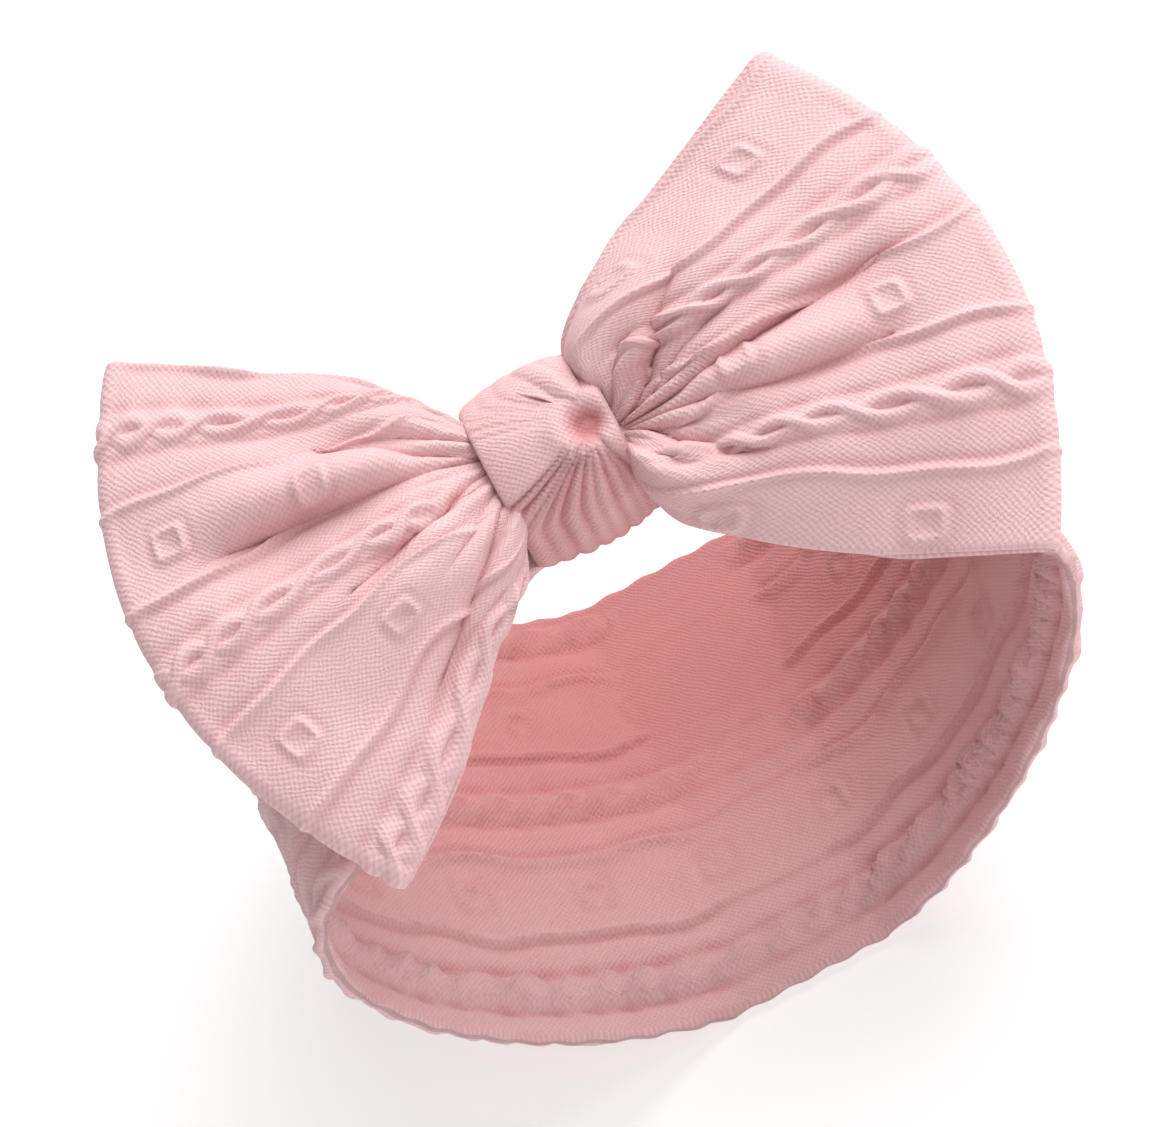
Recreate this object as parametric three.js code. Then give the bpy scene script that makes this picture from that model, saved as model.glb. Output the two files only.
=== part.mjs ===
// A wide knitted headband with a large knotted bow.
// Millimetres, +Z up. The band stands on the back of its loop, with the bow on top.
// X runs along the bow, Y runs through the loop, and the near rim of the band is at -Y.
// The origin is the middle of the flat patch that the band rests on.

import * as THREE from 'three';

// ---------------------------------------------------------------- driving sizes

// The loop, measured on the middle of the fabric.
const loopHalfWidth = 87;
const loopHalfHeight = 64.5;
const shoulderSpread = 13.3; // how much wider the loop is above its middle than below it
const sideRise = 14.9; // how far the widest points stand above the ellipse
const restSag = 3; // how far the floor flattens the round underside

// The band: a knitted tube laid flat.
const bandWidth = 119;
const bandThickness = 2.4;
const neckWidth = 24; // where the band enters the knot
const neckThickness = 7;
const gatherReachDeg = 56; // how far round the loop the gathering spreads from the knot
const sideLeanDeg = 7.3; // the left side opens and the right side closes by this much
const nearFlareDeg = -5; // narrowing towards the near rim, strongest beside the knot
const knotForward = 10; // the knot sits this far nearer than the middle of the band

// The bow and its knot.
const bowLeanDeg = 22; // the bow leans towards the near rim
const bandBundleRadius = 9.2; // the gathered ends of the band inside the knot
const bowBundleHalfWidth = 9; // the gathered middle of the bow inside the knot
const bowBundleHalfThickness = 4.2;
const knotHalfLength = 13.5;
const knotWall = 5;
const knotSlack = 1.2; // room between the wrap and what it goes round
const tuckedEndThickness = 2.4;
const tuckedEndStartDeg = 28; // measured round the wrap from its far side
const tuckedEndSweepDeg = 88;
const tuckedEndNarrow = 0.3; // half length at its two ends, as a share of the knot's
const tuckedEndSwell = 0.35; // what its middle adds to that
const tuckedEndDrift = 0.45; // how far it drifts along the knot as it crosses

// Each bow loop is a strip folded over at its outer edge.
const leftLoopReach = 79;
const rightLoopReach = 83;
const loopHalfAngleDeg = 45; // half of the fan that each loop spreads to
const loopLiftDeg = 10; // the loops rise away from the band
const loopPly = 2.2;
const loopHalfGap = 2.4; // half of the space between the front and back layers
const loopNeckHalfGap = 0.9;
const loopNose = 0.6; // the lower this is, the blunter the folded outer edge

const threadRadius = 0.4;
const fabricGap = 0.4; // between pieces that lie against each other
const hingeGap = 1; // between a loop's neck and the bow's gathered middle

// The sewing.
const coilTurns = 3;
const coilPitch = 3;
const stitchCount = 6;
const stitchSpacing = 2.2;
const stitchHalfWidth = 2.6;

// ---------------------------------------------------------------- worked-out sizes

const rad = THREE.MathUtils.degToRad;
const floorLevel = -loopHalfHeight - bandThickness / 2 + restSag;
const bowLean = rad(bowLeanDeg);
const gatherReach = rad(gatherReachDeg);

// The band ends where it meets the gathered bundle inside the knot.
const bundleHalfLength = knotHalfLength + fabricGap;
const neckAngle = Math.asin((bundleHalfLength + 2 * fabricGap) / (loopHalfWidth + shoulderSpread));

// Heights above the band's bundle, in the bow's own leaning frame.
const threadOuter = bandBundleRadius + fabricGap + 2 * threadRadius;
const bowBundleHeight = threadOuter + fabricGap + bowBundleHalfThickness;
const knotMiddle = (bowBundleHeight + bowBundleHalfThickness - threadOuter) / 2;
const knotInnerHalfHeight = (bowBundleHeight + bowBundleHalfThickness + threadOuter) / 2 + knotSlack;
const knotInnerHalfWidth = Math.max(threadOuter + knotSlack, widthRoundBowBundle());
const loopNeck = bundleHalfLength + hingeGap;

// The half width that an oval of the wrap's inner height needs to pass round the bow's bundle.
function widthRoundBowBundle() {
  let needed = 0;
  for (let i = 0; i <= 24; i += 1) {
    const turn = (i / 24) * (Math.PI / 2);
    const y = (bowBundleHalfWidth + fabricGap) * Math.cos(turn);
    const z = bowBundleHeight - knotMiddle + (bowBundleHalfThickness + fabricGap) * Math.sin(turn);
    const share = z / knotInnerHalfHeight;
    needed = Math.max(needed, y / Math.sqrt(1 - share * share));
  }
  return needed;
}

// ---------------------------------------------------------------- materials

const knit = (color) => new THREE.MeshStandardMaterial({ color, roughness: 0.92, metalness: 0 });
const bandKnit = knit(0xe9b3b6);
const bowKnit = knit(0xf6c9ce);
const thread = knit(0xf3c2c7);

// ---------------------------------------------------------------- shaping tools

const smoothStep = (t) => THREE.MathUtils.smoothstep(t, 0, 1);

// Turns the surface of a box grid into a fabric sheet: place(u, v, side) gives each point,
// with u along the sheet from 0 to 1, v across it from -1 to 1, and side -1 or 1 for its faces.
function sheetSolid(alongSteps, acrossSteps, place, mirrored = false) {
  const geometry = new THREE.BoxGeometry(1, 2, 2, alongSteps, acrossSteps, 1);
  const points = geometry.attributes.position;
  for (let i = 0; i < points.count; i += 1) {
    const p = place(points.getX(i) + 0.5, points.getY(i), Math.sign(points.getZ(i)));
    points.setXYZ(i, p.x, p.y, p.z);
  }
  return finished(geometry, mirrored);
}

// Turns a torus grid into a wrap: place(around, section) gives each point from its two angles.
function wrapSolid(aroundSteps, sectionSteps, place) {
  const geometry = new THREE.TorusGeometry(2, 1, sectionSteps, aroundSteps);
  const points = geometry.attributes.position;
  for (let i = 0; i < points.count; i += 1) {
    const x = points.getX(i);
    const y = points.getY(i);
    const around = Math.atan2(y, x);
    const section = Math.atan2(points.getZ(i), Math.hypot(x, y) - 2);
    const p = place(around, section);
    points.setXYZ(i, p.x, p.y, p.z);
  }
  return finished(geometry, false);
}

function finished(geometry, mirrored) {
  if (mirrored) {
    const index = geometry.index;
    for (let i = 0; i < index.count; i += 3) {
      const first = index.getX(i);
      index.setX(i, index.getX(i + 1));
      index.setX(i + 1, first);
    }
  }
  geometry.computeVertexNormals();
  return geometry;
}

function threadAlong(points, closed, steps) {
  const section = new THREE.Shape();
  section.absarc(0, 0, threadRadius, 0, 2 * Math.PI, false);
  const extrudePath = new THREE.CatmullRomCurve3(points, closed);
  return new THREE.ExtrudeGeometry(section, { steps, extrudePath, curveSegments: 4, bevelEnabled: false });
}

function piece(name, geometry, material) {
  const mesh = new THREE.Mesh(geometry, material);
  mesh.name = name;
  return mesh;
}

// ---------------------------------------------------------------- the band

// How fully the band has opened out at an angle round the loop, from 0 at the knot to 1.
function opened(angle) {
  return smoothStep(Math.min(angle, 2 * Math.PI - angle) / gatherReach);
}

// The middle line of the band, in the plane of the loop.
function loopPoint(angle) {
  const sin = Math.sin(angle);
  const cos = Math.cos(angle);
  const x = loopHalfWidth * sin + shoulderSpread * sin * cos;
  const z = loopHalfHeight * cos + sideRise * sin * sin - floorLevel;
  return new THREE.Vector2(x, z);
}

function loopNormal(angle) {
  const step = 1e-3;
  const along = loopPoint(angle + step).sub(loopPoint(angle - step)).normalize();
  return new THREE.Vector2(-along.y, along.x);
}

function bandPlace(u, v, side) {
  const angle = neckAngle + u * (2 * Math.PI - 2 * neckAngle);
  const open = opened(angle);
  const middle = loopPoint(angle);
  const normal = loopNormal(angle);
  const lean = rad(sideLeanDeg) * Math.sin(angle) - rad(nearFlareDeg) * (1 + Math.cos(angle));
  const tilt = -lean * open - bowLean * (1 - open);
  const out = new THREE.Vector3(normal.x, 0, normal.y);
  const across = new THREE.Vector3(0, -Math.cos(tilt), 0).addScaledVector(out, Math.sin(tilt));
  const face = out.clone().multiplyScalar(Math.cos(tilt));
  face.y += Math.sin(tilt);
  const halfWidth = THREE.MathUtils.lerp(neckWidth, bandWidth, open) / 2;
  const thickness = THREE.MathUtils.lerp(neckThickness, bandThickness, smoothStep(open * 2));
  const point = new THREE.Vector3(middle.x, -knotForward * (1 - open), middle.y);
  point.addScaledVector(across, halfWidth * v);
  point.addScaledVector(face, (side * thickness) / 2);
  point.z = Math.max(point.z, side > 0 ? 0 : bandThickness);
  return point;
}

// ---------------------------------------------------------------- the bow

// One folded loop: out along the front layer, round the outer edge and back along the rear one.
function loopPlace(reach, handSide) {
  const hairpin = (turn) => {
    const distance = reach * Math.pow(Math.max(Math.cos(turn), 0), loopNose);
    const gap = THREE.MathUtils.lerp(loopNeckHalfGap, loopHalfGap, smoothStep((3 * distance) / reach));
    return new THREE.Vector2(distance, gap * Math.sin(turn));
  };
  return (u, v, side) => {
    const turn = (u - 0.5) * Math.PI;
    const step = 1e-3;
    const limit = Math.PI / 2;
    const ahead = hairpin(Math.min(turn + step, limit));
    const behind = hairpin(Math.max(turn - step, -limit));
    const along = ahead.sub(behind).normalize();
    const at = hairpin(turn);
    const taper = 0.5 + 0.5 * smoothStep((6 * at.x) / reach);
    const offset = (side * loopPly * taper) / 2;
    const distance = Math.max(at.x + along.y * offset, 0);
    const height = at.y - along.x * offset;
    const fan = rad(loopHalfAngleDeg) * v;
    const spread = bowBundleHalfWidth * (1 - smoothStep((2 * distance) / reach)) * v;
    const x = loopNeck + distance * Math.cos(fan);
    const z = bowBundleHeight + distance * Math.tan(rad(loopLiftDeg)) + height;
    return new THREE.Vector3(handSide * x, distance * Math.sin(fan) + spread, z);
  };
}

// The wrap round both bundles: an oval ring whose section is a flat oval.
function wrapPoint(around, section, extra) {
  const out = knotWall / 2 + (knotWall / 2) * Math.cos(section) + extra;
  const y = (knotInnerHalfWidth + out) * Math.cos(around);
  const z = knotMiddle + (knotInnerHalfHeight + out) * Math.sin(around);
  return new THREE.Vector3(knotHalfLength * Math.sin(section), y, z);
}

// The end of the knotted strip: it crosses the front of the knot and tucks in near its middle.
function tuckedEndPlace(u, v, side) {
  const around = rad(tuckedEndStartDeg) + u * rad(tuckedEndSweepDeg);
  const halfLength = knotHalfLength * (tuckedEndNarrow + tuckedEndSwell * Math.sin(Math.PI * u));
  const drift = knotHalfLength * (tuckedEndNarrow - tuckedEndDrift * u);
  const x = drift + halfLength * v;
  const section = Math.asin(THREE.MathUtils.clamp(x / knotHalfLength, -0.95, 0.95));
  const lift = fabricGap + (side > 0 ? tuckedEndThickness : 0);
  return wrapPoint(around, section, lift);
}

const bow = new THREE.Group();
bow.position.set(0, -knotForward, loopHalfHeight - floorLevel);
bow.rotation.x = bowLean;

const bundleAxis = (geometry) => geometry.rotateZ(Math.PI / 2);
const bandBundle = bundleAxis(
  new THREE.CylinderGeometry(bandBundleRadius, bandBundleRadius, 2 * bundleHalfLength, 28, 1),
);
const bowBundle = bundleAxis(new THREE.CylinderGeometry(1, 1, 2 * bundleHalfLength, 24, 1));
bowBundle.scale(1, bowBundleHalfWidth, bowBundleHalfThickness);
bowBundle.translate(0, 0, bowBundleHeight);

// The thread that gathers the band's two ends, wound round them in an open coil.
const coilRadius = bandBundleRadius + fabricGap + threadRadius;
const coilPoints = [];
for (let i = 0; i <= coilTurns * 12; i += 1) {
  const turn = (i / 12) * 2 * Math.PI;
  const x = (i / 12 - coilTurns / 2) * coilPitch;
  coilPoints.push(new THREE.Vector3(x, coilRadius * Math.cos(turn), coilRadius * Math.sin(turn)));
}

// The hand stitches that close the back of the knot: one zigzag thread under it.
const stitchClearance = fabricGap + threadRadius;
const stitchPoints = [];
for (let i = 0; i <= stitchCount; i += 1) {
  const x = (i - stitchCount / 2) * stitchSpacing;
  const y = i % 2 === 0 ? stitchHalfWidth : -stitchHalfWidth;
  const z = knotMiddle - knotInnerHalfHeight - knotWall - stitchClearance;
  stitchPoints.push(new THREE.Vector3(x, y, z));
}

bow.add(
  piece('band_gather', bandBundle, bandKnit),
  piece('band_join_stitches', threadAlong(coilPoints, false, coilTurns * 20), thread),
  piece('bow_centre_gather', bowBundle, bowKnit),
  piece('knot_wrap', wrapSolid(36, 16, (around, section) => wrapPoint(around, section, 0)), bowKnit),
  piece('knot_tucked_end', sheetSolid(10, 6, tuckedEndPlace), bowKnit),
  piece('knot_closing_stitches', threadAlong(stitchPoints, false, stitchCount * 4), thread),
  piece('bow_left_loop', sheetSolid(24, 10, loopPlace(leftLoopReach, -1)), bowKnit),
  piece('bow_right_loop', sheetSolid(24, 10, loopPlace(rightLoopReach, 1), true), bowKnit),
);

const headband = new THREE.Group();
headband.add(piece('head_band', sheetSolid(56, 8, bandPlace, true), bandKnit), bow);

export default headband;
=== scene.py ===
"""A wide knitted headband with a large knotted bow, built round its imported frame."""

import math

import bmesh
import bpy
import numpy as np
from mathutils import Matrix, Vector


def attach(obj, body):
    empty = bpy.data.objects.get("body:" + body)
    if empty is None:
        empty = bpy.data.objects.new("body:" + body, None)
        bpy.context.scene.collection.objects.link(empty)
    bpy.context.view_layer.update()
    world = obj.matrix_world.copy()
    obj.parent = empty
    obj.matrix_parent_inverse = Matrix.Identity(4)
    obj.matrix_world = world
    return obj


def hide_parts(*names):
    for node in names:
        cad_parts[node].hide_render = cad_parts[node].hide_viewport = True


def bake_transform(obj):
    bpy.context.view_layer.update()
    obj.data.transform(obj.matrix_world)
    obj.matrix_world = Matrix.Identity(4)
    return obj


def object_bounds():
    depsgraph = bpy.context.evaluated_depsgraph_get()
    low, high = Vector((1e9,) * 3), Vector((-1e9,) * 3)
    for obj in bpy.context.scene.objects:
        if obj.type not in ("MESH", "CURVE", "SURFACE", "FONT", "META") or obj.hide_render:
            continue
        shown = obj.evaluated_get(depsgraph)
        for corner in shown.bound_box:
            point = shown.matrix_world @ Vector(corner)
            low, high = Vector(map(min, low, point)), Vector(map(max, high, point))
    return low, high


bl_info = {
    "name": "Knitted Bow Headband",
    "version": (1, 0, 0),
    "blender": (4, 5, 0),
    "location": "View3D > Sidebar > Headband",
    "description": "Builds a knitted headband with a folded bow and a wrapped knot",
    "category": "Add Mesh",
}

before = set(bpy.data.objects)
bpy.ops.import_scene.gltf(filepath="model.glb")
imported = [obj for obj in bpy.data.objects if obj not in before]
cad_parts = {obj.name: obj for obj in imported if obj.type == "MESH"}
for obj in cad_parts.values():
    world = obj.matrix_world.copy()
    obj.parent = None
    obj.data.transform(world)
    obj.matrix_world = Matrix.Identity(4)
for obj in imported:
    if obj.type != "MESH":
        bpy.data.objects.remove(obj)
CAD_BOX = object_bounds()

MM = 0.001
CAD_THICKNESS = 0.0024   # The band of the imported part, which sets the floor's level.
NECK = 14.9              # Millimetres from the knot's middle to the neck of each loop.
LOOP_LENGTH = 79.0       # Millimetres of cloth from a loop's neck to its outer fold.
INNER_FACE = 300         # Millimetres that set the stitches of an inner face apart from the outer one's.
FRONT_PART = 0.66        # Share of a loop's rows that its front layer takes.
AIM = (-0.00863, 0.02452, 0.0577)   # The place, in metres, that the camera and the lights face.


# ---------------------------------------------------------------- settings

def length(label, note, default):
    """A length in metres that a user can change."""
    return bpy.props.FloatProperty(name=label, description=note, default=default, unit="LENGTH", precision=5)


def turn(label, note, degrees):
    """An angle that a user can change."""
    return bpy.props.FloatProperty(
        name=label, description=note, default=math.radians(degrees), unit="ROTATION")


def number(label, note, default):
    """A plain number that a user can change."""
    return bpy.props.FloatProperty(name=label, description=note, default=default)


def colour(label, note, default):
    """A linear colour that a user can change."""
    return bpy.props.FloatVectorProperty(
        name=label, description=note, default=default, subtype="COLOR", size=3, min=0, max=1)


class HeadbandKnit(bpy.types.PropertyGroup):
    """The raised pattern of the knit, its colour and the colours of its painted shade."""
    repeat: length("Pattern repeat", "Distance across the strip from one cable to the next", 0.050)
    ridge_offset: length("Ridge offset", "Distance from a cable to the thin ridge beside it", 0.0145)
    square_spacing: length("Square spacing", "Distance along the strip between squares", 0.030)
    square_half: length("Square half size", "Half the size of a raised square", 0.0028)
    cable_twist: length("Cable twist", "Length of one full twist of a cable", 0.021)
    strand_swing: length("Strand swing", "How far a cable's strands swing to each side", 0.00235)
    strand_half: length("Strand half width", "Half the width of one strand", 0.00165)
    relief: length("Relief", "Height of the cables above the knit", 0.0017)
    stitch: length("Stitch period", "Size of one repeat of the fine stitches", 0.0013)
    light: colour("Knit colour", "Colour of the raised yarn", (0.93, 0.645, 0.655))
    # Painted shade: the colour that hollows, stitch gaps and darker copies of the knit are mixed towards.
    shade_colour: colour("Hollow colour", "Colour down between the ribs", (0.58, 0.19, 0.20))
    # Painted shade: this colour deepens the band's inner face, most of all towards its far rim.
    inside: colour("Inside colour", "Deeper colour towards the band's far inner rim", (0.55, 0.235, 0.225))


class HeadbandBand(bpy.types.PropertyGroup):
    """The band round the head."""
    half_width: length("Loop half width", "Half the width of the loop", 0.087)
    half_height: length("Loop half height", "Half the height of the loop", 0.0645)
    shoulder_spread: length("Shoulder spread", "Extra width above the middle of the loop", 0.0133)
    side_rise: length("Side rise", "How far the widest points stand above the ellipse", 0.0149)
    rest_sag: length("Rest sag", "How far the floor flattens the underside", 0.003)
    fabric_width: length("Fabric width", "Width of the flat band", 0.119)
    thickness: length("Thickness", "Thickness of the two layers of knit", 0.0022)
    neck_width: length("Neck width", "Width of the band where it enters the knot", 0.024)
    gather_reach: turn("Gather reach", "How far round the loop the gathers spread", 56)
    side_lean: turn("Side lean", "How much one side opens and the other closes", 7.3)
    near_flare: turn("Near flare", "Opening of the near rim beside the knot, closing below 0", -5)
    pattern_shift: length("Pattern shift", "Place of the middle cable across the band", -0.007)
    inner_shift: length("Inner shift", "How far the inner face's pattern is moved across", 0.0095)
    shoulder_draw: number("Shoulder draw", "Share by which the far half narrows on the right shoulder", 0.42)


class HeadbandBow(bpy.types.PropertyGroup):
    """The bow and the knot."""
    forward: length("Forward", "How far nearer than the band's middle the knot sits", 0.010)
    lean: turn("Lean", "How far the bow leans towards the near rim", 22)
    lift: turn("Loop lift", "How far the loops rise away from the band", 10)
    bundle_height: length("Bundle height", "Height of the bow's middle above the band's", 0.0150)
    ply: length("Ply", "Thickness of one folded layer", 0.0021)
    fold_gap: length("Fold gap", "Half the space between the layers at the outer fold", 0.0016)
    knot_half_length: length("Knot half length", "Half the length of the wrap", 0.0133)
    knot_shift: length("Knot shift", "How far the wrap sits to the left of the middle", 0.0030)
    knot_wall: length("Knot wall", "Thickness of the wrap", 0.005)


class HeadbandStage(bpy.types.PropertyGroup):
    """Camera, floor and lights."""
    distance: length("Camera distance", "From the camera to its target", 0.8)
    azimuth: turn("Azimuth", "Turn of the camera round the part", 0.6)
    elevation: turn("Elevation", "Height angle of the camera", 49.9)
    roll: turn("Roll", "Turn of the camera about its own view", -28.6)
    focal: number("Focal length", "In millimetres", 113.3)
    key_power: number("Key power", "Watts of the soft light above", 32.0)
    fill_power: number("Fill power", "Watts of the soft fill", 2.8)
    sky: number("Sky", "Strength of the even light", 0.40)
    floor_glow: number("Floor glow", "Light that the white floor gives off", 0.52)


PROPERTY_GROUPS = {
    "headband_knit": HeadbandKnit,
    "headband_band": HeadbandBand,
    "headband_bow": HeadbandBow,
    "headband_stage": HeadbandStage,
}


# ---------------------------------------------------------------- mathematics

def smooth(t):
    """A soft step from 0 to 1."""
    t = np.clip(t, 0, 1)
    return t * t * (3 - 2 * t)


def mix(a, b, t):
    return a + (b - a) * t


def curve_through(points, t):
    """Points at t, from 0 to 1, on a smooth curve through evenly numbered points."""
    p = np.asarray(points, float)
    p = np.concatenate([[2 * p[0] - p[1]], p, [2 * p[-1] - p[-2]]])
    x = np.clip(t, 0, 1) * (len(points) - 1)
    i = np.minimum(x.astype(int), len(points) - 2)
    f = x - i
    if p.ndim == 2:
        f = f[..., None]
    a, b, c, d = p[i], p[i + 1], p[i + 2], p[i + 3]
    bow_term = (2 * a - 5 * b + 4 * c - d) * f ** 2
    turn_term = (3 * b - a - 3 * c + d) * f ** 3
    return 0.5 * (2 * b + (c - a) * f + bow_term + turn_term)


def unit(vectors):
    return vectors / np.maximum(np.linalg.norm(vectors, axis=-1, keepdims=True), 1e-9)


def hill(x, width):
    return np.exp(-(x / width) ** 2)


def pinch(x, width):
    """A sharp-bottomed valley, 1 at x = 0."""
    return np.exp(-np.sqrt((x / width) ** 2 + 0.02)) * 1.15


# ---------------------------------------------------------------- the knit pattern

def knit_relief(across, along, seed=0.0):
    """Height of the pattern in millimetres, and how much painted shade its hollows get, from 0 to 1.

    A cable runs where across is 0 and at every repeat, with a thin ridge on each side of it and
    a row of squares half way to the next cable.
    """
    knit = bpy.context.scene.headband_knit
    repeat = knit.repeat / MM
    from_cable = (across + repeat / 2) % repeat - repeat / 2

    # The cable: two strands that cross over and under each other.
    twist = 2 * np.pi * along / (knit.cable_twist / MM) + seed + 0.7 * np.sin(along / 8.5 + 2 * seed)
    cable = np.zeros_like(across)
    for strand in (0.0, np.pi):
        centre = knit.strand_swing / MM * np.sin(twist + strand)
        over = 0.42 * np.cos(twist + strand)
        round_top = np.sqrt(np.clip(1 - ((from_cable - centre) / (knit.strand_half / MM)) ** 2, 0, 1))
        cable = np.maximum(cable, round_top * (1 + over))
    trench = hill(np.abs(from_cable) - 5.0, 1.2) * (0.7 + 0.3 * np.cos(2 * twist))
    slit = hill(from_cable - 0.6 * np.sin(twist), 0.55) * np.abs(np.sin(twist)) ** 2

    # The ridges wander a little along the strip.
    wander = 0.8 * np.sin(along / 6.5 + seed) + 0.5 * np.sin(along / 3.7 + 1.7 * seed)
    from_ridge = np.abs(from_cable) - knit.ridge_offset / MM - wander
    ridge = hill(from_ridge, 0.75)
    ridge_side = hill(from_ridge + 1.8, 0.9)

    # The squares: a raised outline round a hollow.
    spacing = knit.square_spacing / MM
    x = across % repeat - repeat / 2
    y = (along + 4 * seed) % spacing - spacing / 2
    reach = (np.abs(x) ** 4.5 + np.abs(y) ** 4.5) ** (1 / 4.5)
    half = knit.square_half / MM
    outline = hill(reach - half, 0.62)
    inside = hill(reach / half, 0.55)
    halo = hill(reach - half - 1.8, 0.8)

    cable = cable * (0.85 + 0.15 * np.sin(along / 5.1 + 2 * seed))
    height = knit.relief / MM * (
        0.85 * cable - 0.38 * trench - 0.25 * slit + 0.62 * ridge - 0.24 * ridge_side
        + 0.40 * outline - 0.2 * inside - 0.12 * halo)
    height += 0.22 * np.sin(along / 4.1 + across / 9) * np.sin(across / 5.3 + seed)
    # Painted shade: trenches, slits, the foot of each ridge and the squares' hollows get a deeper colour, the
    # cables none.
    hollow_shade = 0.75 * trench + 0.5 * slit + 0.55 * ridge_side + 0.15 * inside + 0.3 * halo - cable
    hollow_shade = np.clip(hollow_shade, 0, 1)
    return height, hollow_shade


def across_stops(half_width, shift, count):
    """Places across a strip, closer together where the pattern is fine."""
    repeat = bpy.context.scene.headband_knit.repeat / MM
    ridge = bpy.context.scene.headband_knit.ridge_offset / MM
    c = np.linspace(-half_width, half_width, 4001)
    from_cable = (c + shift + repeat / 2) % repeat - repeat / 2
    crowding = 0.55 + 1.2 * hill(np.maximum(np.abs(from_cable) - 3.5, 0), 2.2)
    crowding += 1.3 * hill(np.abs(from_cable) - ridge, 2.2)
    crowding += 0.9 * hill(np.maximum(np.abs(np.abs(from_cable) - repeat / 2) - 3.5, 0), 1.5)
    total = np.concatenate([[0], np.cumsum((crowding[1:] + crowding[:-1]) / 2)])
    return np.interp(np.linspace(0, total[-1], count), total, c)


# ---------------------------------------------------------------- mesh tools

def grid_mesh(rows, columns):
    """A bmesh grid as a mesh, with the row and column number of each vertex."""
    bm = bmesh.new()
    bmesh.ops.create_grid(bm, x_segments=columns - 1, y_segments=rows - 1, size=0.5)
    mesh = bpy.data.meshes.new("grid")
    bm.to_mesh(mesh)
    bm.free()
    flat = np.empty(len(mesh.vertices) * 3)
    mesh.vertices.foreach_get("co", flat)
    spots = flat.reshape(-1, 3) + 0.5
    column = np.rint(spots[:, 0] * (columns - 1)).astype(int)
    row = np.rint(spots[:, 1] * (rows - 1)).astype(int)
    return mesh, row, column


def finish_fabric(name, mesh, points, flat_place, hollow_shade, inside=None, close_ends=True):
    """Puts a grid's vertices in place (millimetres), welds and closes it, and makes its object."""
    mesh.vertices.foreach_set("co", (points * MM).ravel())
    corner = np.empty(len(mesh.loops), int)
    mesh.loops.foreach_get("vertex_index", corner)
    layer = mesh.uv_layers.new(name="UVMap")
    layer.data.foreach_set("uv", (flat_place[corner] * MM).ravel())
    # Both attributes carry painted shade: one for the hollows, one for the band's inner face.
    inside = 0 * hollow_shade if inside is None else inside
    for key, values in (("hollow_shade", hollow_shade), ("inside", inside)):
        mesh.attributes.new(key, "FLOAT", "POINT").data.foreach_set("value", values.astype(np.float32))
    bm = bmesh.new()
    bm.from_mesh(mesh)
    bmesh.ops.remove_doubles(bm, verts=bm.verts, dist=2e-6)
    if close_ends:
        rim = [edge for edge in bm.edges if edge.is_boundary]
        bmesh.ops.holes_fill(bm, edges=rim, sides=0)
    if bm.calc_volume(signed=True) < 0:
        bmesh.ops.reverse_faces(bm, faces=bm.faces)
    bm.to_mesh(mesh)
    bm.free()
    mesh.name = name
    mesh.shade_smooth()
    piece = bpy.data.objects.new(name, mesh)
    bpy.context.collection.objects.link(piece)
    return piece


def strip_section(half_width, shift, outer_count, inner_count):
    """The columns round a flat strip's section: place across, side from 1 to -1, and edge at a rim."""
    rim = np.radians([60, 20, -20, -60])
    outer = across_stops(half_width, shift, outer_count)
    inner = across_stops(half_width, shift, inner_count)[::-1]
    across = np.concatenate([outer, half_width + 0 * rim, inner, -half_width + 0 * rim, outer[:1]])
    side = np.concatenate([outer * 0 + 1, np.sin(rim), inner * 0 - 1, -np.sin(rim), [1.0]])
    edge = np.concatenate([outer * 0, np.cos(rim), inner * 0, -np.cos(rim), [0.0]])
    return across, side, edge


# ---------------------------------------------------------------- materials

def node_tree(name):
    material = bpy.data.materials.new(name)
    material.use_nodes = True
    nodes = material.node_tree.nodes
    nodes.clear()
    return material, nodes, material.node_tree.links


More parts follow.
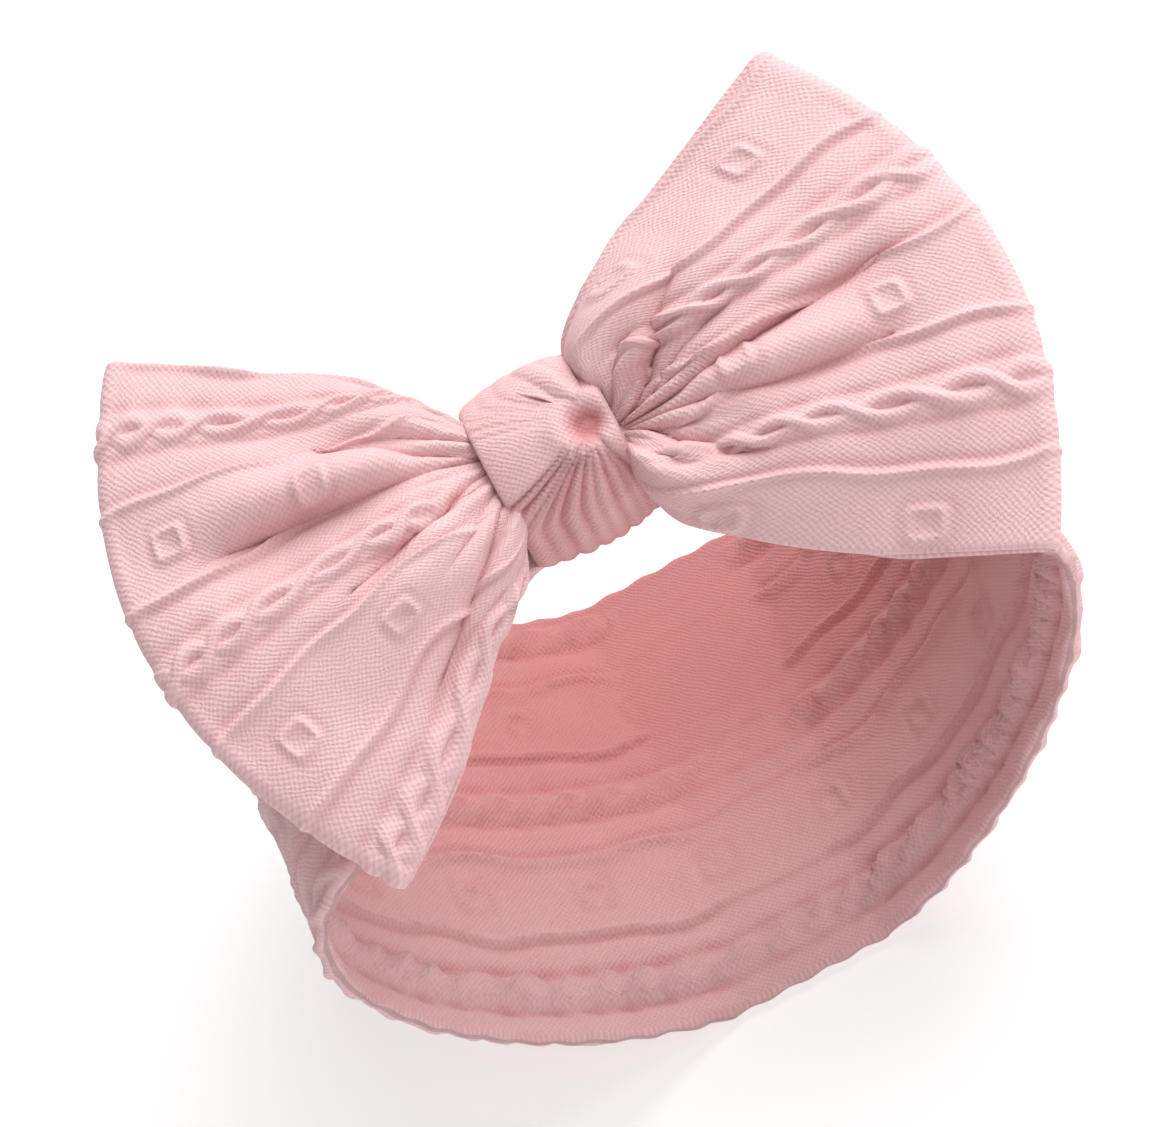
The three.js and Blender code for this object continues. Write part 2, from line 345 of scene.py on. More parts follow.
def knit_material(name, light, inside, shade_colour, hollow_shade_share):
    """A fine stitched knit, lighter on the yarn, with painted shade between the ribs and the stitches."""
    stitch = bpy.context.scene.headband_knit.stitch
    material, nodes, links = node_tree(name)

    def math_node(operation, a, b=None):
        node = nodes.new("ShaderNodeMath")
        node.operation = operation
        for socket, value in zip(node.inputs, (a, b)):
            if hasattr(value, "is_linked"):
                links.new(value, socket)
            elif value is not None:
                socket.default_value = value
        return node.outputs[0]

    def noise(scale, detail, vector):
        node = nodes.new("ShaderNodeTexNoise")
        node.inputs["Scale"].default_value = scale
        node.inputs["Detail"].default_value = detail
        links.new(vector, node.inputs["Vector"])
        return node

    def blend(factor, a, b):
        node = nodes.new("ShaderNodeMix")
        node.data_type = "RGBA"
        links.new(factor, node.inputs["Factor"])
        for key, value in (("A", a), ("B", b)):
            socket = next(s for s in node.inputs if s.name == key and s.type == "RGBA")
            if hasattr(value, "is_linked"):
                links.new(value, socket)
            else:
                socket.default_value = (*value, 1)
        return next(s for s in node.outputs if s.type == "RGBA")

    place = nodes.new("ShaderNodeTexCoord").outputs["UV"]
    drift = noise(260, 2, place)
    spread = nodes.new("ShaderNodeVectorMath")
    spread.operation = "MULTIPLY_ADD"
    links.new(drift.outputs["Color"], spread.inputs[0])
    spread.inputs[1].default_value = (0.0016, 0.0016, 0)
    links.new(place, spread.inputs[2])
    split = nodes.new("ShaderNodeSeparateXYZ")
    links.new(spread.outputs[0], split.inputs[0])
    waves = [math_node("SINE", math_node("MULTIPLY", split.outputs[i], 2 * math.pi / stitch)) for i in (0, 1)]
    stitches = math_node("MULTIPLY", waves[0], waves[1])
    fuzz = noise(2600, 3, place).outputs[0]
    mottle = noise(90, 3, place).outputs[0]
    hollow_shade = nodes.new("ShaderNodeAttribute")
    hollow_shade.attribute_name = "hollow_shade"

    height = math_node("ADD", math_node("MULTIPLY", stitches, 0.5), math_node("MULTIPLY", fuzz, 1.1))
    bump = nodes.new("ShaderNodeBump")
    bump.inputs["Strength"].default_value = 0.62
    bump.inputs["Distance"].default_value = 0.00030
    links.new(height, bump.inputs["Height"])

    # Painted shade between the stitches, with a random mottle of tone added.
    between = math_node("MULTIPLY_ADD", stitches, -0.13)
    between.node.inputs[2].default_value = 0.13
    between = math_node("ADD", between, math_node("MULTIPLY", mottle, 0.16))
    # Painted shade: this attribute mixes the band's inner face towards the inside colour.
    shaded = nodes.new("ShaderNodeAttribute")
    shaded.attribute_name = "inside"
    yarn = blend(between, blend(shaded.outputs["Fac"], light, inside), shade_colour)
    # Painted shade: the hollows are mixed towards the shade colour.
    depth = math_node("MULTIPLY", hollow_shade.outputs["Fac"], hollow_shade_share)
    finish = blend(depth, yarn, shade_colour)

    shader = nodes.new("ShaderNodeBsdfPrincipled")
    shader.inputs["Roughness"].default_value = 0.92
    shader.inputs["Specular IOR Level"].default_value = 0.18
    shader.inputs["Sheen Weight"].default_value = 0.22
    shader.inputs["Sheen Roughness"].default_value = 0.55
    shader.inputs["Sheen Tint"].default_value = (1, 0.9, 0.9, 1)
    links.new(finish, shader.inputs["Base Color"])
    links.new(bump.outputs[0], shader.inputs["Normal"])
    out = nodes.new("ShaderNodeOutputMaterial")
    links.new(shader.outputs[0], out.inputs[0])
    return material


def thread_material():
    """Twisted sewing thread, with painted shade in the grooves of its twist."""
    material, nodes, links = node_tree("sewing_thread")
    place = nodes.new("ShaderNodeTexCoord").outputs["Object"]
    twist = nodes.new("ShaderNodeTexWave")
    twist.wave_type = "BANDS"
    twist.bands_direction = "DIAGONAL"
    twist.inputs["Scale"].default_value = 900
    twist.inputs["Distortion"].default_value = 1.0
    links.new(place, twist.inputs["Vector"])
    # Painted shade: the ramp darkens the low grooves of the twist.
    ramp = nodes.new("ShaderNodeValToRGB")
    ramp.color_ramp.elements[0].color = (0.72, 0.38, 0.42, 1)
    ramp.color_ramp.elements[1].color = (0.95, 0.68, 0.70, 1)
    links.new(twist.outputs["Fac"], ramp.inputs[0])
    bump = nodes.new("ShaderNodeBump")
    bump.inputs["Strength"].default_value = 0.5
    bump.inputs["Distance"].default_value = 0.0001
    links.new(twist.outputs["Fac"], bump.inputs["Height"])
    shader = nodes.new("ShaderNodeBsdfPrincipled")
    shader.inputs["Roughness"].default_value = 0.55
    shader.inputs["Sheen Weight"].default_value = 0.15
    links.new(ramp.outputs[0], shader.inputs["Base Color"])
    links.new(bump.outputs[0], shader.inputs["Normal"])
    out = nodes.new("ShaderNodeOutputMaterial")
    links.new(shader.outputs[0], out.inputs[0])
    return material


def knit_for(name, piece_shade=0.0, hollow_shade_share=0.52):
    """The knit's material, with its yarn mixed towards the shade colour: a darker copy that paints shade over
    the whole piece.
    """
    knit = bpy.context.scene.headband_knit
    light = [mix(a, b, piece_shade) for a, b in zip(knit.light, knit.shade_colour)]
    return knit_material(name, light, tuple(knit.inside), tuple(knit.shade_colour), hollow_shade_share)


# ---------------------------------------------------------------- the band

def floor_level():
    """The floor's height from the loop's centre, in millimetres, which is negative."""
    band = bpy.context.scene.headband_band
    return (-band.half_height - CAD_THICKNESS / 2 + band.rest_sag) / MM


def loop_middle(angle):
    """The middle line of the band in the plane of its loop."""
    band = bpy.context.scene.headband_band
    sin, cos = np.sin(angle), np.cos(angle)
    x = (band.half_width * sin + band.shoulder_spread * sin * cos) / MM
    z = (band.half_height * cos + band.side_rise * sin * sin) / MM - floor_level()
    return np.stack([x, z], -1)


def band_surface(angle, across, half):
    """Points in the middle of the band's thickness, and the way its outside faces."""
    band = bpy.context.scene.headband_band
    bow = bpy.context.scene.headband_bow
    step = 1e-3
    middle = loop_middle(angle)
    along = unit(loop_middle(angle + step) - loop_middle(angle - step))
    out = np.stack([-along[:, 1], 0 * angle, along[:, 0]], -1)
    opened = smooth(np.minimum(angle, 2 * np.pi - angle) / band.gather_reach)
    lean = band.side_lean * np.sin(angle) - band.near_flare * (1 + np.cos(angle))
    tilt = -lean * opened - bow.lean * (1 - opened)
    width_way = np.sin(tilt)[:, None] * out
    width_way[:, 1] -= np.cos(tilt)
    face = np.cos(tilt)[:, None] * out
    face[:, 1] += np.sin(tilt)
    wide = mix(band.neck_width / band.fabric_width, 1, opened)
    # The far half draws in a little more on the right shoulder.
    shoulder = hill(angle - 1.15, 0.62) * (across < 0)
    wide = wide * (1 - band.shoulder_draw * shoulder)
    share = across / half
    # The gathers: folds that fan out from the knot and die away as the band opens.
    closed = 1 - opened
    folds = np.sin(8.5 * share + 0.6) + 0.6 * np.sin(14.3 * share + 2.0)
    folds = folds + 0.4 * np.sin(21 * share + angle * 2)
    depth = closed ** 1.5 * 2.3 * folds
    # Slow waves in the open part.
    depth = depth + 0.7 * np.sin(3 * angle + 2.2 * share) * opened
    point = np.stack([middle[:, 0], -bow.forward / MM * closed, middle[:, 1]], -1)
    point += width_way * (across * wide)[:, None] + face * depth[:, None]
    return point, face, opened


class HEADBAND_OT_band(bpy.types.Operator):
    """Knit the band: a wide tube laid flat, gathered into the knot"""
    bl_idname = "headband.band"
    bl_label = "Band"

    def execute(self, context):
        band = context.scene.headband_band
        bow = context.scene.headband_bow
        shift = band.pattern_shift / MM
        half = band.fabric_width / MM / 2 - band.thickness / MM / 2
        rows, columns = 452, 104
        across, side, edge = strip_section(half, shift, columns, columns)
        mesh, row, column = grid_mesh(rows, len(across))

        bundle_end = bow.knot_half_length / MM + 1.4
        first = math.asin(bundle_end / ((band.half_width + band.shoulder_spread) / MM))
        angle = np.linspace(first, 2 * np.pi - first, rows)
        middle = loop_middle(angle)
        steps = np.linalg.norm(np.diff(middle, axis=0), axis=1)
        along_rows = np.concatenate([[0], np.cumsum(steps)])
        angle, along = angle[row], along_rows[row]
        across, side, edge = across[column], side[column], edge[column]

        point, face, opened = band_surface(angle, across, half)
        nudge, step = 0.05, 1e-3
        beside = (band_surface(angle, across + nudge, half)[0]
                  - band_surface(angle, across - nudge, half)[0])
        ahead = (band_surface(angle + step, across, half)[0]
                 - band_surface(angle - step, across, half)[0])
        normal = unit(np.cross(unit(beside), unit(ahead)))
        normal *= np.sign(np.sum(normal * face, -1, keepdims=True))
        sideways = unit(np.cross(normal, np.cross(beside, normal)))

        height, hollow_shade = knit_relief(across + shift, along, 0.9)
        inner = side < 0
        inner_place = across + shift + band.inner_shift / MM
        inner_height, inner_hollow_shade = knit_relief(inner_place, along + 5, 2.3)
        height = np.where(inner, inner_height, height)
        hollow_shade = np.where(inner, inner_hollow_shade, hollow_shade)
        half_thick = band.thickness / MM / 2
        # The inner face's pattern is bolder, most of all beside the near rim.
        bold = np.where(inner, 1.35 + 0.8 * smooth((across - 34) / 10), 1.0)
        lift = side * half_thick + side * height * mix(0.5, 1.0, opened) * bold
        # Both rims pucker.
        scallop = 0.5 + 0.5 * np.sin(2 * np.pi * along / 9 + 1)
        rim_out = edge * (half_thick + 0.7 * scallop * opened)
        point = point + normal * lift[:, None] + sideways * rim_out[:, None]
        # The floor flattens the underside, with its inner face kept above its outer one.
        point[:, 2] = np.maximum(point[:, 2], (1 - side) * half_thick * 0.9)

        flat_place = np.stack([across + np.where(inner, INNER_FACE, 0), along], -1)
        # Painted shade: the inner face is coloured deeper, most of all towards its far rim; the band's knit
        # is also a slightly darker copy.
        inside = np.where(inner, 1 - 0.85 * smooth((across + 25) / 75), 0)
        piece = finish_fabric("knitted_band", mesh, point, flat_place, hollow_shade, inside)
        piece.data.materials.append(knit_for("band_knit_looks", 0.05))
        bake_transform(piece)
        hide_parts("head_band")
        return {"FINISHED"}


# ---------------------------------------------------------------- the bow

def bow_matrix():
    """From the bow's own leaning axes to the part's, in millimetres."""
    bow = bpy.context.scene.headband_bow
    band = bpy.context.scene.headband_band
    lean = bow.lean
    turn_x = np.array([[1, 0, 0], [0, math.cos(lean), -math.sin(lean)], [0, math.sin(lean), math.cos(lean)]])
    place = np.array([0, -bow.forward / MM, band.half_height / MM - floor_level()])
    return turn_x, place


def to_part(points):
    turn_x, place = bow_matrix()
    return points @ turn_x.T + place


# Each loop's outline in its own plane: millimetres out from its neck, and towards the near rim.
LOOPS = {
    "left": {
        "hand": -1,
        "far": [(-1, -8), (9, -20.5), (20.5, -30.5), (33, -37.5), (45.5, -46), (57.8, -53.6)],
        "near": [(-2, 9.0), (4.0, 20.5), (15, 32.5), (26, 45.5), (38.5, 57), (50, 66)],
        "neck": (0, -1), "tip": (75, 6.3), "droop": 14.0,
        "rise": [2.5, 6.5, 8.0, 7.5, 6.0, 4.0, 0.4],
        "back": [2.0, 3.0, 3.5, 3.0, 2.0, 1.2, 0.3],
        "shift": -5.0, "seed": 2.0,
        # Where each fold lies across the loop, at its start, middle and end; its depth, its width,
        # its reach from the neck, and which way the cloth beside it rolls over.
        "folds": [
            ((-0.26, -0.50, -0.53), 3.6, 0.07, (0.0, 0.58), -0.5),
            ((-0.22, -0.22, -0.22), 6.2, 0.09, (0.0, 0.86), 0.8),
            ((0.08, 0.24, 0.27), 5.0, 0.07, (0.0, 0.62), 0.5),
            ((0.40, 0.55, 0.58), 2.2, 0.06, (0.0, 0.42), 0.0),
            ((0.60, 0.78, 0.84), 5.0, 0.06, (0.02, 0.70), 0.6),
        ],
        # Each hill: its place across, its width, where it starts and stops, and its height.
        "hills": [(-0.40, 0.12, 0.18, 0.86, 3.6), (0.50, 0.16, 0.16, 0.6, 1.8),
                  (-0.78, 0.12, 0.1, 0.55, 1.4), (-0.10, 0.10, 0.3, 0.8, -1.2)],
    },
    "right": {
        "hand": 1,
        "far": [(-5, -1), (-7.5, -15.5), (9, -26.5), (25, -33.8), (40, -40), (55, -46.6)],
        "near": [(-5, 7), (-5, 22), (8, 36.5), (25, 50), (41.5, 59.5), (56.1, 67.4)],
        "neck": (-4, 4), "tip": (75, 10.4), "droop": 3.0,
        "rise": [3.5, 8.5, 11.0, 9.5, 6.5, 4.2, 0.4],
        "back": [2.0, 3.0, 3.5, 3.0, 2.0, 1.2, 0.3],
        "shift": 21.0, "seed": 4.5,
        "folds": [
            ((-0.08, -0.48, -0.70), 7.0, 0.09, (0.0, 0.48), 0.7),
            ((0.10, -0.06, -0.14), 7.0, 0.08, (0.0, 0.90), 0.7),
            ((0.24, 0.25, 0.18), 5.5, 0.07, (0.0, 0.82), 0.6),
            ((0.36, 0.62, 0.62), 6.5, 0.07, (0.0, 0.48), -0.8),
            ((-0.02, -0.26, -0.32), 2.6, 0.05, (0.0, 0.5), 0.0),
        ],
        "hills": [(-0.80, 0.17, 0.00, 0.50, 4.5), (0.82, 0.17, 0.01, 0.45, 4.2),
                  (0.10, 0.07, 0.15, 0.75, 1.6), (-0.30, 0.14, 0.04, 0.55, -1.6)],
    },
}


def loop_layer(shape, reach, share, front):
    """The middle of one layer of a loop, at reach 0 to 1 from the neck and share -1 to 1 across."""
    bow = bpy.context.scene.headband_bow
    gap = bow.fold_gap / MM
    far = curve_through(shape["far"], reach)
    near = curve_through(shape["near"], reach)
    centre = mix(np.array(shape["neck"], float), np.array(shape["tip"], float), reach[:, None])

    # Near the neck the front layer rolls round behind itself at both edges.
    roll = mix(np.radians(118), np.radians(86), smooth(reach / 0.5))
    if not front:
        roll = np.radians(84) + 0 * reach
    bend = share * roll
    widest = np.sin(np.minimum(roll, np.pi / 2))
    flat = smooth(reach / 0.55)
    t = mix(np.sin(bend) / widest, share, flat)
    up = mix(np.sign(np.cos(bend)) * np.abs(np.cos(bend)) ** 0.6, np.sqrt(1 - 0.9 * share ** 2), flat)
    if not front:
        t = t * mix(0.74, 1.0, smooth(reach / 0.7))
    shade = 0 * t

    near_fold = smooth((1 - reach) / 0.05)
    fold_round = np.sqrt(np.clip(1 - np.clip((reach - 0.975) / 0.025, 0, 1) ** 2, 0, 1))
    if front:
        height = gap * fold_round + curve_through(shape["rise"], reach) * up
        slide, crowd = 0 * t, 0 * t
        for places, depth, width, (start, stop), lean in shape["folds"]:
            line = curve_through(places, np.clip(reach / max(stop, 0.1), 0, 1))
            fade = smooth((stop - reach) / 0.30) * mix(0.45, 1, smooth(reach / 0.30))
            wide = width * mix(0.75, 1.25, reach)
            off = t - line
            height = height - depth * fade * pinch(off, wide)
            height = height + depth * fade * 0.45 * hill(off + lean * 1.3 * wide, wide) * min(abs(lean), 1)
            # The cloth beside a fold is drawn into it, less where folds crowd together.
            beside = hill(off, 1.25 * wide) * fade * smooth((reach - 0.03) / 0.22)
            slide = slide - (0.42 * off + 0.22 * lean * wide) * beside
            crowd = crowd + beside
            shade = shade + 0.16 * depth * fade * pinch(off, 0.7 * wide)
        for place, width, start, stop, amount in shape["hills"]:
            fade = smooth((reach - start) / 0.12) * smooth((stop - reach) / 0.25)
            height = height + amount * fade * hill(t - place, width)
        # Fine gathers fan out of the knot.
        fine = np.sin(23 * t + shape["seed"] * 3) + 0.7 * np.sin(37 * t + 1 + reach * 5)
        fine_fade = smooth((0.48 - reach) / 0.40) * mix(0.3, 1, smooth(reach / 0.16))
        height = height + 0.8 * fine * fine_fade
        height = height + 0.5 * np.sin(9 * t + 6 * reach + shape["seed"]) * near_fold * smooth(reach / 0.3)
        t = t + slide / np.maximum(1, 1.4 * crowd)
    else:
        height = -gap * fold_round - curve_through(shape["back"], reach) * up
        height = height - 0.5 * np.sin(19 * t + 2) * smooth((0.6 - reach) / 0.5)
        height = height - 0.5 * np.sin(7 * t + 5 * reach) * near_fold
    # The near side of the loop droops, and is foreshortened by it.
    drop = shape["droop"] * smooth(reach / 0.7) * (np.clip(t - 0.05, 0, None) / 0.95) ** 2
    height = height - drop
    t = t[:, None]
    plan = centre + (near - far) / 2 * t + ((near + far) / 2 - centre) * t ** 2
    plan[:, 1] -= 0.32 * drop

    lift = bow.lift
    x = shape["hand"] * (NECK + plan[:, 0] * math.cos(lift) - height * math.sin(lift))
    z = bow.bundle_height / MM + plan[:, 0] * math.sin(lift) + height * math.cos(lift)
    return np.stack([x, -plan[:, 1], z], -1), shade


def strip_reach(path):
    """Reach from the neck, and whether the front layer holds it, for path from 0 at the front neck
    to 1 at the back neck."""
    is_front = path <= FRONT_PART
    done = np.where(is_front, path / FRONT_PART, (1 - path) / (1 - FRONT_PART))
    return 1 - (1 - np.clip(done, 0, 1)) ** 1.5, is_front


def loop_surface(shape, path, share):
    """The middle of the folded strip."""
    reach, is_front = strip_reach(path)
    front, shade = loop_layer(shape, reach, share, True)
    back, back_shade = loop_layer(shape, reach, share, False)
    return np.where(is_front[:, None], front, back), np.where(is_front, shade, back_shade)


def build_loop(name, shape, rows=236, outer=168, inner=40):
    """One bow loop: a knitted strip folded over at its outer edge, pleated into the knot."""
    bow = bpy.context.scene.headband_bow
    band = bpy.context.scene.headband_band
    half = band.fabric_width / MM / 2 - bow.ply / MM / 2
    shift = shape["shift"]
    across, side, edge = strip_section(half, shift, outer, inner)
    mesh, row, column = grid_mesh(rows, len(across))
    path = np.linspace(0, 1, rows)[row]
    across, side, edge = across[column], side[column], edge[column]
    share = across / half

    point, shade = loop_surface(shape, path, share)
    nudge = 1e-3
    beside = (loop_surface(shape, path, np.minimum(share + nudge, 1))[0]
              - loop_surface(shape, path, np.maximum(share - nudge, -1))[0])
    inside_path = np.clip(path, nudge, 1 - nudge)
    ahead = (loop_surface(shape, inside_path + nudge, share)[0]
             - loop_surface(shape, inside_path - nudge, share)[0])
    normal = unit(np.cross(unit(beside), unit(ahead))) * shape["hand"]
    sideways = unit(beside)

    reach, is_front = strip_reach(path)
    along = np.where(is_front, reach, 2 - reach) * LOOP_LENGTH
    height, hollow_shade = knit_relief(across + shift, along, shape["seed"])
    calm = mix(0.10, 1.0, smooth((reach - 0.04) / 0.30)) * mix(1.0, 0.45, smooth((reach - 0.93) / 0.07))
    half_ply = bow.ply / MM / 2
    taper = mix(0.2, 1.0, smooth(reach / 0.3))
    relief = np.where(side > 0, height, 0) * calm * np.abs(side)
    lift = side * half_ply * taper + relief
    point = point + normal * lift[:, None] + sideways * (edge * half_ply)[:, None]
    point = to_part(point)
    flat_place = np.stack([across + np.where(side < 0, INNER_FACE, 0), along], -1)
    # Painted shade: the relief's hollows and the bottoms of the folds are marked for a deeper colour.
    hollow_shade = np.clip(hollow_shade * 0.75 * calm + shade, 0, 1)
    piece = finish_fabric(name, mesh, point, flat_place, hollow_shade)
    piece.data.materials.append(knit_for(name + "_looks"))
    return piece


class HEADBAND_OT_bow_loops(bpy.types.Operator):
    """Fold the two loops of the bow"""
    bl_idname = "headband.bow_loops"
    bl_label = "Bow loops"

    def execute(self, context):
        for side, shape in LOOPS.items():
            piece = build_loop(f"{side}_bow_loop", shape)
            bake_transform(piece)
            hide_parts(f"bow_{side}_loop")
        return {"FINISHED"}


# ---------------------------------------------------------------- the knot

def knot_surface(around, section, out=0.0):
    """A point on the wrap: around from 0 at its far side, and section from 0 at its outside."""
    bow = bpy.context.scene.headband_bow
    wall = bow.knot_wall / MM
    flat_x = np.sin(section)
    thick = wall / 2 + wall / 2 * np.cos(section)
    swell = 1 + 0.10 * hill(flat_x, 0.75)
    bore_deep, bore_tall, middle_height = 14.05, 16.0, 4.4
    y = bore_deep + thick * swell + out
    z = bore_tall + thick * swell + out
    x = bow.knot_half_length / MM * flat_x - bow.knot_shift / MM
    return np.stack([x, y * np.cos(around), middle_height + z * np.sin(around)], -1)


# Each pleat of the wrap: its place along the knot from the dimple, where the fan is widest, then
# its depth and its width.
KNOT_PLEATS = (
    (-37.0, 1.3, 2.6), (-27.0, 1.6, 2.2), (-21.0, 0.9, 1.5), (-17.0, 1.3, 1.5), (-13.0, 1.7, 1.4),
    (-8.6, 1.5, 1.2), (-5.2, 1.1, 1.1), (-1.6, 1.5, 1.1), (1.6, 1.0, 1.0), (4.0, 1.2, 1.2),
)
DEEPEST_PLEAT = 3.3      # Millimetres, which keeps the outside of the wrap clear of its inside.


def knot_pleats(around, x):
    """How far the pleats of the wrap sink in, fanning from the dimple on its front."""
    dimple_turn, dimple_x = np.radians(98), 5.0
    turned = np.angle(np.exp(1j * (around - dimple_turn)))
    away = np.abs(turned)
    spread = mix(0.12, 1.0, smooth(away / 0.9))
    line = (x - dimple_x) / spread
    sink = 0 * x
    for place, depth, width in KNOT_PLEATS:
        sink = sink + depth * pinch(line - place, width)
    sink = sink * smooth(away / 0.35) * np.where(turned < 0, 0.25, 1)
    # The pleats grow shallow towards the back of the knot, where it is sewn.
    sink = sink * mix(1, 0.5, smooth((away - 0.8) / 0.7)) * mix(1, 0.4, smooth((away - 2.1) / 0.7))
    hole = np.sqrt((x - dimple_x) ** 2 + (20 * turned) ** 2)
    dimple = 4.4 * hill(hole, 3.2) - 0.8 * hill(hole - 6.2, 2.4)
    return np.minimum(1.5 * sink + dimple, DEEPEST_PLEAT)


class HEADBAND_OT_knot(bpy.types.Operator):
    """Wrap the knot and tuck in its end"""
    bl_idname = "headband.knot"
    bl_label = "Knot"

    def execute(self, context):
        bow = context.scene.headband_bow
        rows, columns = 241, 141
        mesh, row, column = grid_mesh(rows, columns)
        around = np.linspace(0, 2 * np.pi, rows)[row]
        spread = np.linspace(-1, 1, columns)[column]
        section = np.pi * (spread - 0.18 * np.sin(2 * np.pi * spread) / np.pi)
        outside = smooth((np.cos(section) + 0.3) / 0.6)
        base = knot_surface(around, section)
        ripple = 0.35 * np.sin(9 * around + 2 * spread) * np.sin(5 * spread + around)
        ripple += 0.55 * np.sin(3.0 * around + 3.4 * spread + 0.8)
        out = (ripple - knot_pleats(around, base[:, 0])) * outside
        point = knot_surface(around, section, out)
        # Painted shade: the pleats, the dimple and the underside of the wrap get a deeper colour, and the
        # knot's knit is a darker copy.
        depth = knot_pleats(around, base[:, 0]) * outside
        underside_shade = smooth((np.abs(np.angle(np.exp(1j * (around - np.radians(95))))) - 1.0) / 0.7)
        flat_place = np.stack([base[:, 0] + 40 * (1 - outside), around * 20], -1)
        piece = finish_fabric("wrapped_knot", mesh, to_part(point), flat_place,
                              np.clip(depth / 2.7 + 0.55 * underside_shade, 0, 1), close_ends=False)
        piece.data.materials.append(knit_for("knot_knit_looks", 0.06, 0.8))
        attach(piece, "bow")
        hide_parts("knot_wrap")
        self.tucked_end(bow)
        return {"FINISHED"}

    def tucked_end(self, bow):
        """The end of the strip: it comes over the far side of the knot and tucks into the dimple."""
        rows, columns = 90, 97
        mesh, row, column = grid_mesh(rows, columns)
        path = np.linspace(0, 1, rows)[row]
        turned = np.linspace(0, 2 * np.pi, columns)[column]
        around = np.radians(mix(14, 97, path))
        half = mix(10.0, 1.8, smooth(path) ** 1.1)
        middle = mix(-3.0, 5.4, smooth(path))
        flat_x = middle + half * np.cos(turned)
        knot_half = bow.knot_half_length / MM
        share = np.clip((flat_x + bow.knot_shift / MM) / knot_half, -0.97, 0.97)
        section = np.arcsin(share)
        ends = smooth(path / 0.35) * smooth((1 - path) / 0.10)
        one_sided = mix(0.25, 1.0, smooth((np.cos(turned) + 0.9) / 1.2))
        thick = 2.0 * ends * one_sided * np.abs(np.sin(turned)) ** 0.7
        crease = 0.7 * pinch(flat_x - middle + 2.2, 0.9) + 0.5 * pinch(flat_x - middle - 3.0, 0.9)
        crease = crease * ends
        sunk = -0.9 - 9.0 * smooth((path - 0.76) / 0.24) ** 1.5
        out = np.where(np.sin(turned) > 0, 0.3 + thick - crease * np.sin(turned), 0.0) + sunk
        point = knot_surface(around, section, out)
        flat_place = np.stack([flat_x + 15, path * 28], -1)
        # Painted shade along the creases of the tucked end, whose knit is also a slightly darker copy.
        piece = finish_fabric("tucked_end", mesh, to_part(point), flat_place,
                              np.clip(crease * 0.4, 0, 0.6))
        piece.data.materials.append(knit_for("tucked_end_looks", 0.04))
        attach(piece, "bow")
        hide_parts("knot_tucked_end")


class HEADBAND_OT_gathers(bpy.types.Operator):
    """Make the gathered bundles inside the knot and finish the stitches"""
    bl_idname = "headband.gathers"
    bl_label = "Gathers and stitches"

    def execute(self, context):
        bundles = (
            ("gathered_band_ends", "band_gather", "front", "band_knit", 9.0, 9.0, 0.0, 15),
            ("gathered_bow_middle", "bow_centre_gather", "bow", "bow_knit", 8.8, 4.0,
             context.scene.headband_bow.bundle_height / MM, 11),
        )
        for name, node, body, slot, half_y, half_z, height, folds in bundles:
            rows, columns, half_length = 25, 181, 13.8
            mesh, row, column = grid_mesh(rows, columns)
            along = np.linspace(-half_length, half_length, rows)[row]
            turned = np.linspace(0, 2 * np.pi, columns)[column]
            pleat = 0.88 + 0.12 * np.abs(np.cos(turned * folds / 2 + 0.05 * along))
            pleat *= 1 - 0.06 * (np.abs(along) > 13)
            y = half_y * pleat * np.cos(turned)
            z = height + half_z * pleat * np.sin(turned)
            point = np.stack([along, y, z], -1)
            flat_place = np.stack([turned * 8, along], -1)
            # Painted shade: the pleats' hollows get a deeper colour, and the bundles' knit is a darker copy.
            piece = finish_fabric(name, mesh, to_part(point), flat_place, (1 - pleat) * 4)
            piece.data.materials.append(knit_for(name + "_looks", 0.1))
            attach(piece, body)
            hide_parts(node)
        finish = thread_material()
        for node in ("band_join_stitches", "knot_closing_stitches"):
            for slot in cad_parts[node].material_slots:
                slot.material = finish
        return {"FINISHED"}


# ---------------------------------------------------------------- stage

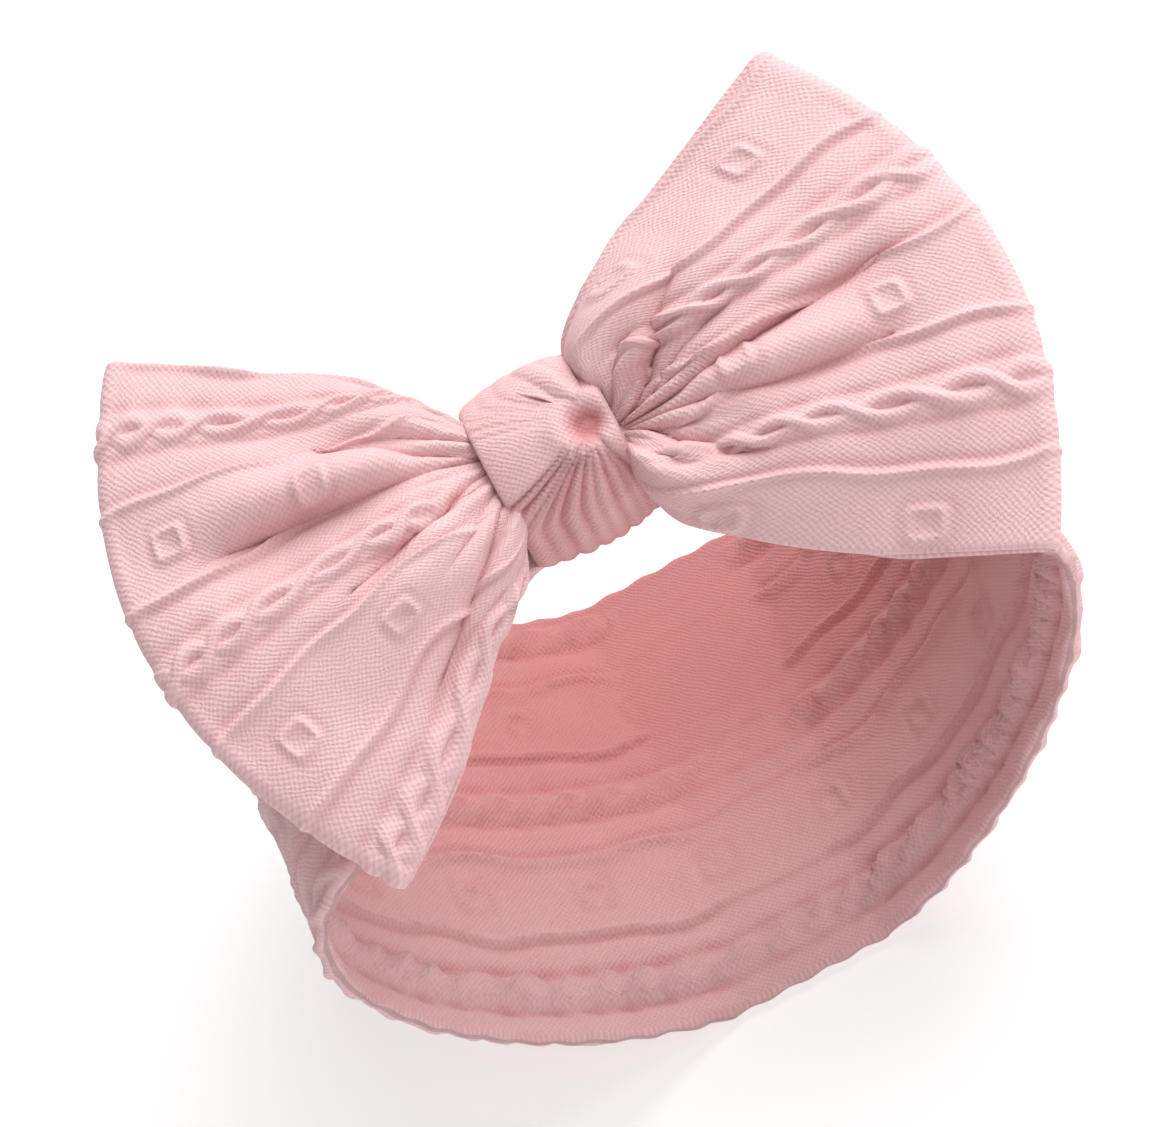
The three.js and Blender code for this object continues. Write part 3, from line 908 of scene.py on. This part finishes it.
class HEADBAND_OT_stage(bpy.types.Operator):
    """Place the camera, the floor and the lights"""
    bl_idname = "headband.stage"
    bl_label = "Stage"

    def execute(self, context):
        stage = context.scene.headband_stage
        a, e, roll = stage.azimuth, stage.elevation, stage.roll
        back = Vector((math.sin(a) * math.cos(e), -math.cos(a) * math.cos(e), math.sin(e)))
        level = Vector((math.cos(a), math.sin(a), 0))
        rise = back.cross(level)
        right = level * math.cos(roll) + rise * math.sin(roll)
        up = rise * math.cos(roll) - level * math.sin(roll)
        target = Vector(AIM)
        data = bpy.data.cameras.new("camera")
        data.lens = stage.focal
        data.sensor_width = 36
        data.clip_start = 0.01
        camera = bpy.data.objects.new("camera", data)
        turn_to = Matrix((right, up, back)).transposed().to_4x4()
        camera.matrix_world = Matrix.Translation(target + back * stage.distance) @ turn_to
        context.collection.objects.link(camera)
        context.scene.camera = camera

        self.floor(context)
        key_place = target + up * 1.50 + back * 0.62 + right * 0.08
        fill_place = target + back * 1.2 + right * 0.4
        self.light(context, "key_light", key_place, target, 1.7, stage.key_power)
        self.light(context, "fill_light", fill_place, target, 1.0, stage.fill_power)
        world = bpy.data.worlds.new("studio")
        world.use_nodes = True
        background = world.node_tree.nodes["Background"]
        background.inputs["Color"].default_value = (1, 1, 1, 1)
        background.inputs["Strength"].default_value = stage.sky
        context.scene.world = world
        context.scene.view_settings.view_transform = "Standard"
        return {"FINISHED"}

    def light(self, context, name, place, target, size, power):
        data = bpy.data.lights.new(name, "AREA")
        data.shape = "DISK"
        data.size = size
        data.energy = power
        lamp = bpy.data.objects.new(name, data)
        facing = (place - target).to_track_quat("Z", "Y").to_matrix().to_4x4()
        lamp.matrix_world = Matrix.Translation(place) @ facing
        context.collection.objects.link(lamp)

    def floor(self, context):
        bm = bmesh.new()
        bmesh.ops.create_grid(bm, x_segments=1, y_segments=1, size=3)
        bmesh.ops.translate(bm, verts=bm.verts, vec=(0, 0, CAD_BOX[0][2] - 0.0003))
        mesh = bpy.data.meshes.new("floor")
        bm.to_mesh(mesh)
        bm.free()
        floor = bpy.data.objects.new("floor", mesh)
        context.collection.objects.link(floor)
        material, nodes, links = node_tree("floor_paper")
        shader = nodes.new("ShaderNodeBsdfPrincipled")
        grain = nodes.new("ShaderNodeTexNoise")
        grain.inputs["Scale"].default_value = 900
        links.new(nodes.new("ShaderNodeTexCoord").outputs["Object"], grain.inputs["Vector"])
        ramp = nodes.new("ShaderNodeValToRGB")
        ramp.color_ramp.elements[0].color = (0.55, 0.55, 0.55, 1)
        ramp.color_ramp.elements[1].color = (0.58, 0.58, 0.58, 1)
        links.new(grain.outputs[0], ramp.inputs[0])
        links.new(ramp.outputs[0], shader.inputs["Base Color"])
        shader.inputs["Roughness"].default_value = 0.9
        shader.inputs["Emission Color"].default_value = (1, 1, 1, 1)
        shader.inputs["Emission Strength"].default_value = context.scene.headband_stage.floor_glow
        out = nodes.new("ShaderNodeOutputMaterial")
        links.new(shader.outputs[0], out.inputs[0])
        mesh.materials.append(material)


class HEADBAND_PT_panel(bpy.types.Panel):
    """Lists the pieces of the headband"""
    bl_idname = "HEADBAND_PT_panel"
    bl_label = "Headband"
    bl_space_type = "VIEW_3D"
    bl_region_type = "UI"
    bl_category = "Headband"

    def draw(self, context):
        for operator in OPERATORS:
            self.layout.operator(operator.bl_idname)
        for name in PROPERTY_GROUPS:
            group = getattr(context.scene, name)
            box = self.layout.box()
            for key in group.__annotations__:
                box.prop(group, key)


OPERATORS = (
    HEADBAND_OT_stage, HEADBAND_OT_band, HEADBAND_OT_bow_loops, HEADBAND_OT_knot, HEADBAND_OT_gathers)
CLASSES = (*PROPERTY_GROUPS.values(), *OPERATORS, HEADBAND_PT_panel)


def register():
    for item in CLASSES:
        bpy.utils.register_class(item)
    for name, group in PROPERTY_GROUPS.items():
        setattr(bpy.types.Scene, name, bpy.props.PointerProperty(type=group))


def unregister():
    for name in PROPERTY_GROUPS:
        delattr(bpy.types.Scene, name)
    for item in reversed(CLASSES):
        bpy.utils.unregister_class(item)


def main():
    register()
    bpy.ops.headband.stage()
    bpy.ops.headband.band()
    bpy.ops.headband.bow_loops()
    bpy.ops.headband.knot()
    bpy.ops.headband.gathers()


if __name__ == "__main__":
    main()
